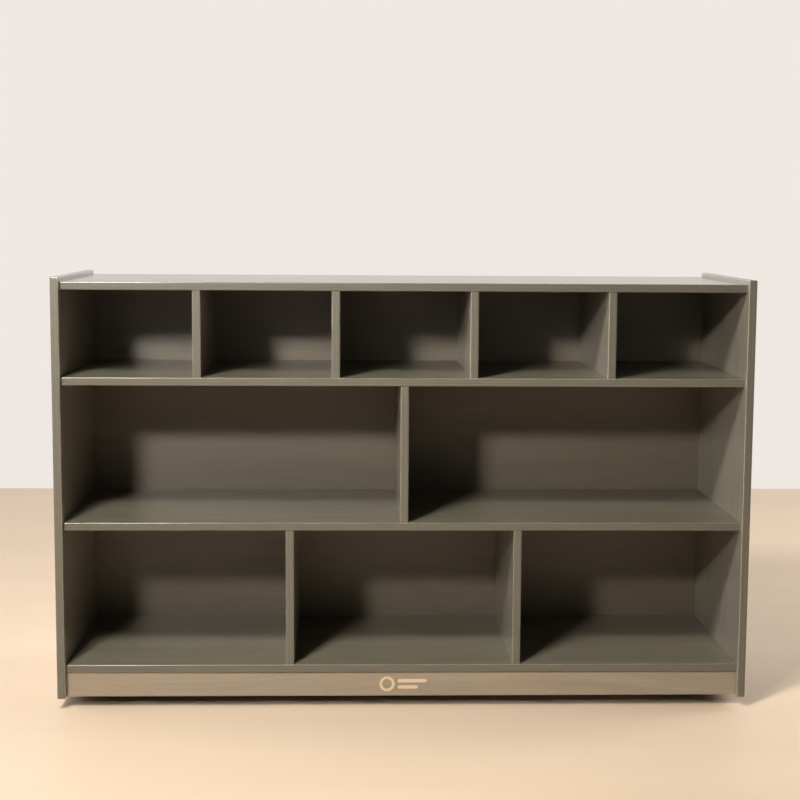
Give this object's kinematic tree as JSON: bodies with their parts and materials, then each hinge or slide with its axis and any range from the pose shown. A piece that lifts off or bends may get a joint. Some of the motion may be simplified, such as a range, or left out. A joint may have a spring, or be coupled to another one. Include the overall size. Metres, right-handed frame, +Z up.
{
  "type": "cubby storage cabinet",
  "caption": "Low open-fronted plywood cubby cabinet with rows of small, wide and square compartments, a kick plate and hidden swivel castors.",
  "frame": {"origin": "on the floor, under the middle of the cabinet", "axes": "+X to the cabinet's right seen from its open front, +Y to its back, +Z up"},
  "size_m": [1.2192, 0.381, 0.762],
  "materials": {
    "panel_ply": "grey-washed birch plywood, satin lacquer, grain along each board",
    "back_ply": "thin grey-washed plywood, satin",
    "zinc_cams": "cast zinc, dull",
    "steel_bolts": "zinc-plated steel",
    "beech_dowels": "bare beech, fluted look",
    "back_screw_steel": "zinc-plated steel",
    "castor_screw_steel": "zinc-plated steel",
    "castor_plate_steel": "pressed and zinc-plated steel",
    "castor_pin_steel": "turned steel",
    "castor_hood_nylon": "moulded black nylon",
    "castor_wheel_nylon": "moulded black nylon, scuffed tread"
  },
  "bodies": {
    "cabinet": {"side_left": "panel_ply", "side_right": "panel_ply", "top_panel": "panel_ply", "shelf_upper": "panel_ply", "shelf_lower": "panel_ply", "bottom_panel": "panel_ply", "kick_front": "panel_ply", "kick_rear": "panel_ply", "back_panel": "back_ply", "divider_upper_1": "panel_ply", "divider_upper_2": "panel_ply", "divider_upper_3": "panel_ply", "divider_upper_4": "panel_ply", "divider_middle": "panel_ply", "divider_lower_1": "panel_ply", "divider_lower_2": "panel_ply", "cam_locks": "zinc_cams", "cam_bolts": "steel_bolts", "dowels": "beech_dowels", "back_screws": "back_screw_steel", "castor_screws": "castor_screw_steel", "castor_front_left_plate": "castor_plate_steel", "castor_front_left_kingpin": "castor_pin_steel", "castor_front_right_plate": "castor_plate_steel", "castor_front_right_kingpin": "castor_pin_steel", "castor_rear_left_plate": "castor_plate_steel", "castor_rear_left_kingpin": "castor_pin_steel", "castor_rear_right_plate": "castor_plate_steel", "castor_rear_right_kingpin": "castor_pin_steel"},
    "castor_front_left": {"castor_front_left_hood": "castor_hood_nylon", "castor_front_left_axle": "castor_pin_steel"},
    "castor_front_left_wheel_left": {"castor_front_left_wheel_left": "castor_wheel_nylon"},
    "castor_front_left_wheel_right": {"castor_front_left_wheel_right": "castor_wheel_nylon"},
    "castor_front_right": {"castor_front_right_hood": "castor_hood_nylon", "castor_front_right_axle": "castor_pin_steel"},
    "castor_front_right_wheel_left": {"castor_front_right_wheel_left": "castor_wheel_nylon"},
    "castor_front_right_wheel_right": {"castor_front_right_wheel_right": "castor_wheel_nylon"},
    "castor_rear_left": {"castor_rear_left_hood": "castor_hood_nylon", "castor_rear_left_axle": "castor_pin_steel"},
    "castor_rear_left_wheel_left": {"castor_rear_left_wheel_left": "castor_wheel_nylon"},
    "castor_rear_left_wheel_right": {"castor_rear_left_wheel_right": "castor_wheel_nylon"},
    "castor_rear_right": {"castor_rear_right_hood": "castor_hood_nylon", "castor_rear_right_axle": "castor_pin_steel"},
    "castor_rear_right_wheel_left": {"castor_rear_right_wheel_left": "castor_wheel_nylon"},
    "castor_rear_right_wheel_right": {"castor_rear_right_wheel_right": "castor_wheel_nylon"}
  },
  "joints": [
    {"name": "castor_front_left_swivel", "type": "hinge", "parent": "cabinet", "child": "castor_front_left", "pos_m": [-0.5353, -0.1062, 0.045], "axis": [0, 0, 1], "continuous": true},
    {"name": "castor_front_left_wheel_left_spin", "type": "hinge", "parent": "castor_front_left", "child": "castor_front_left_wheel_left", "pos_m": [-0.55205, -0.0872, 0.025], "axis": [1, 0, 0], "continuous": true},
    {"name": "castor_front_left_wheel_right_spin", "type": "hinge", "parent": "castor_front_left", "child": "castor_front_left_wheel_right", "pos_m": [-0.51855, -0.0872, 0.025], "axis": [1, 0, 0], "continuous": true},
    {"name": "castor_front_right_swivel", "type": "hinge", "parent": "cabinet", "child": "castor_front_right", "pos_m": [0.5353, -0.1062, 0.045], "axis": [0, 0, 1], "continuous": true},
    {"name": "castor_front_right_wheel_left_spin", "type": "hinge", "parent": "castor_front_right", "child": "castor_front_right_wheel_left", "pos_m": [0.51855, -0.0872, 0.025], "axis": [1, 0, 0], "continuous": true},
    {"name": "castor_front_right_wheel_right_spin", "type": "hinge", "parent": "castor_front_right", "child": "castor_front_right_wheel_right", "pos_m": [0.55205, -0.0872, 0.025], "axis": [1, 0, 0], "continuous": true},
    {"name": "castor_rear_left_swivel", "type": "hinge", "parent": "cabinet", "child": "castor_rear_left", "pos_m": [-0.5353, 0.1032, 0.045], "axis": [0, 0, 1], "continuous": true},
    {"name": "castor_rear_left_wheel_left_spin", "type": "hinge", "parent": "castor_rear_left", "child": "castor_rear_left_wheel_left", "pos_m": [-0.55205, 0.1222, 0.025], "axis": [1, 0, 0], "continuous": true},
    {"name": "castor_rear_left_wheel_right_spin", "type": "hinge", "parent": "castor_rear_left", "child": "castor_rear_left_wheel_right", "pos_m": [-0.51855, 0.1222, 0.025], "axis": [1, 0, 0], "continuous": true},
    {"name": "castor_rear_right_swivel", "type": "hinge", "parent": "cabinet", "child": "castor_rear_right", "pos_m": [0.5353, 0.1032, 0.045], "axis": [0, 0, 1], "continuous": true},
    {"name": "castor_rear_right_wheel_left_spin", "type": "hinge", "parent": "castor_rear_right", "child": "castor_rear_right_wheel_left", "pos_m": [0.51855, 0.1222, 0.025], "axis": [1, 0, 0], "continuous": true},
    {"name": "castor_rear_right_wheel_right_spin", "type": "hinge", "parent": "castor_rear_right", "child": "castor_rear_right_wheel_right", "pos_m": [0.55205, 0.1222, 0.025], "axis": [1, 0, 0], "continuous": true}
  ]
}
